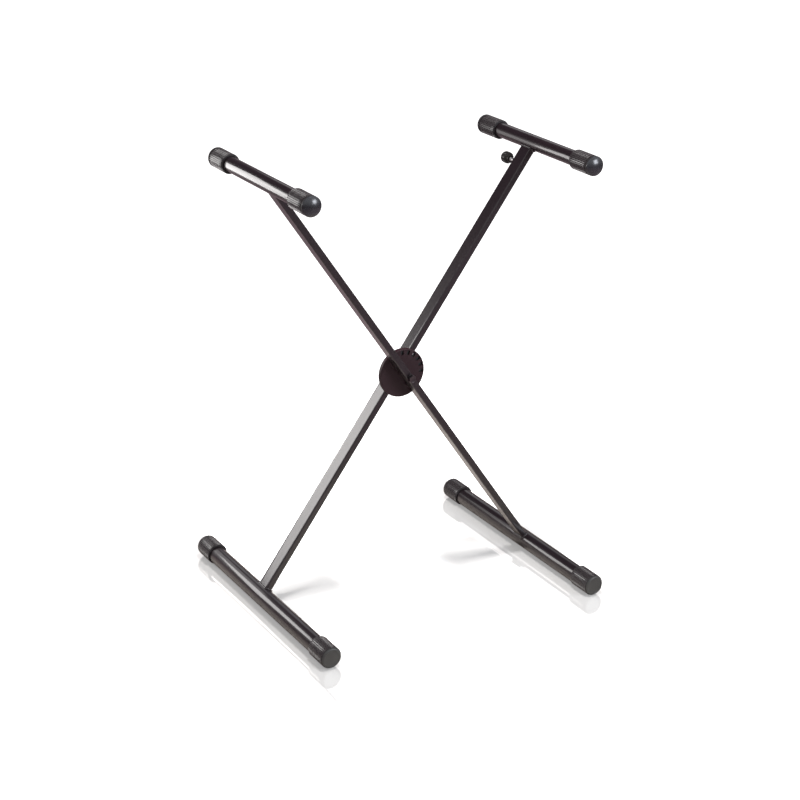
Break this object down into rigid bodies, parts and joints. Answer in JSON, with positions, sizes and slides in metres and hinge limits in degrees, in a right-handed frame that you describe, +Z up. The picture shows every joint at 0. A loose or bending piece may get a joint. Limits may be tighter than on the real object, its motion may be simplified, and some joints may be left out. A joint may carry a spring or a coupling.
{
  "type": "folding keyboard stand",
  "caption": "Folding cross-leg stand for an electronic keyboard, with capped support arms, long feet and a trigger-released pin that locks the legs at stepped heights.",
  "frame": {"origin": "on the floor under the pivot, midway between the feet and between the ends of the arms", "axes": "+Z up; +X from the left foot to the right foot, in the plane of the fold; +Y along the arms and feet, away from a viewer in front"},
  "size_m": [0.5836, 0.49, 0.8019],
  "materials": {
    "powder_coat": "dark brown-black metallic powder coat, satin",
    "disc_coat": "dark brown-black paint, low satin",
    "cap_rubber": "matt dark warm-grey rubber with fine ribs and a smooth end",
    "knob_plastic": "black moulded plastic, fine grain",
    "zinc_steel": "bright zinc plate",
    "black_steel": "black oxide, slightly oily",
    "nylon": "black nylon"
  },
  "bodies": {
    "front_frame": {"front_leg_tube": "powder_coat", "front_leg_spacer": "zinc_steel", "front_arm_weld": "powder_coat", "front_foot_weld": "powder_coat", "left_arm_tube": "powder_coat", "left_arm_cap_near": "cap_rubber", "left_arm_cap_far": "cap_rubber", "right_foot_tube": "powder_coat", "lock_disc": "disc_coat", "disc_tack_1": "disc_coat", "disc_tack_2": "disc_coat", "disc_tack_3": "disc_coat", "disc_tack_4": "disc_coat", "pivot_bolt": "black_steel", "front_washer": "black_steel", "rear_washer": "black_steel", "lock_nut": "black_steel"},
    "rear_frame": {"rear_leg_tube": "powder_coat", "rear_leg_spacer": "zinc_steel", "rear_arm_weld": "powder_coat", "rear_foot_weld": "powder_coat", "right_arm_tube": "powder_coat", "right_arm_cap_near": "cap_rubber", "right_arm_cap_far": "cap_rubber", "left_foot_tube": "powder_coat", "return_spring": "zinc_steel", "spring_seat": "black_steel", "guide_disc": "nylon"},
    "trigger": {"cam_block": "nylon", "pull_rod": "zinc_steel", "trigger_block": "nylon", "trigger_stud": "zinc_steel", "trigger_knob": "knob_plastic"},
    "lock_pin": {"locking_pin": "zinc_steel", "cross_pin": "zinc_steel"},
    "left_foot_near_cap_body": {"left_foot_cap_near": "cap_rubber"},
    "left_foot_far_cap_body": {"left_foot_cap_far": "cap_rubber"},
    "right_foot_near_cap_body": {"right_foot_cap_near": "cap_rubber"},
    "right_foot_far_cap_body": {"right_foot_cap_far": "cap_rubber"}
  },
  "joints": [
    {"name": "fold", "type": "hinge", "parent": "front_frame", "child": "rear_frame", "pos_m": [0, 0, 0.4013], "axis": [0, -1, 0], "range_deg": [-57, 65]},
    {"name": "release", "type": "slide", "parent": "rear_frame", "child": "trigger", "axis": [0.5793, 0, 0.8151], "range_m": [-0.009, 0], "stiffness_N_per_m": 400, "springref_m": -0.03},
    {"name": "pin_slide", "type": "slide", "parent": "rear_frame", "child": "lock_pin", "axis": [0, 1, 0], "range_m": [-0.003, 0]},
    {"name": "left_foot_near_cap_turn", "type": "hinge", "parent": "rear_frame", "child": "left_foot_near_cap_body", "pos_m": [-0.27226, 0, 0.01818], "axis": [0, 1, 0], "continuous": true},
    {"name": "left_foot_far_cap_turn", "type": "hinge", "parent": "rear_frame", "child": "left_foot_far_cap_body", "pos_m": [-0.27226, 0, 0.01818], "axis": [0, 1, 0], "continuous": true},
    {"name": "right_foot_near_cap_turn", "type": "hinge", "parent": "front_frame", "child": "right_foot_near_cap_body", "pos_m": [0.27226, 0, 0.01818], "axis": [0, 1, 0], "continuous": true},
    {"name": "right_foot_far_cap_turn", "type": "hinge", "parent": "front_frame", "child": "right_foot_far_cap_body", "pos_m": [0.27226, 0, 0.01818], "axis": [0, 1, 0], "continuous": true}
  ],
  "couplings": [
    {"joint": "pin_slide", "follows": "release", "ratio": 0.33333}
  ]
}
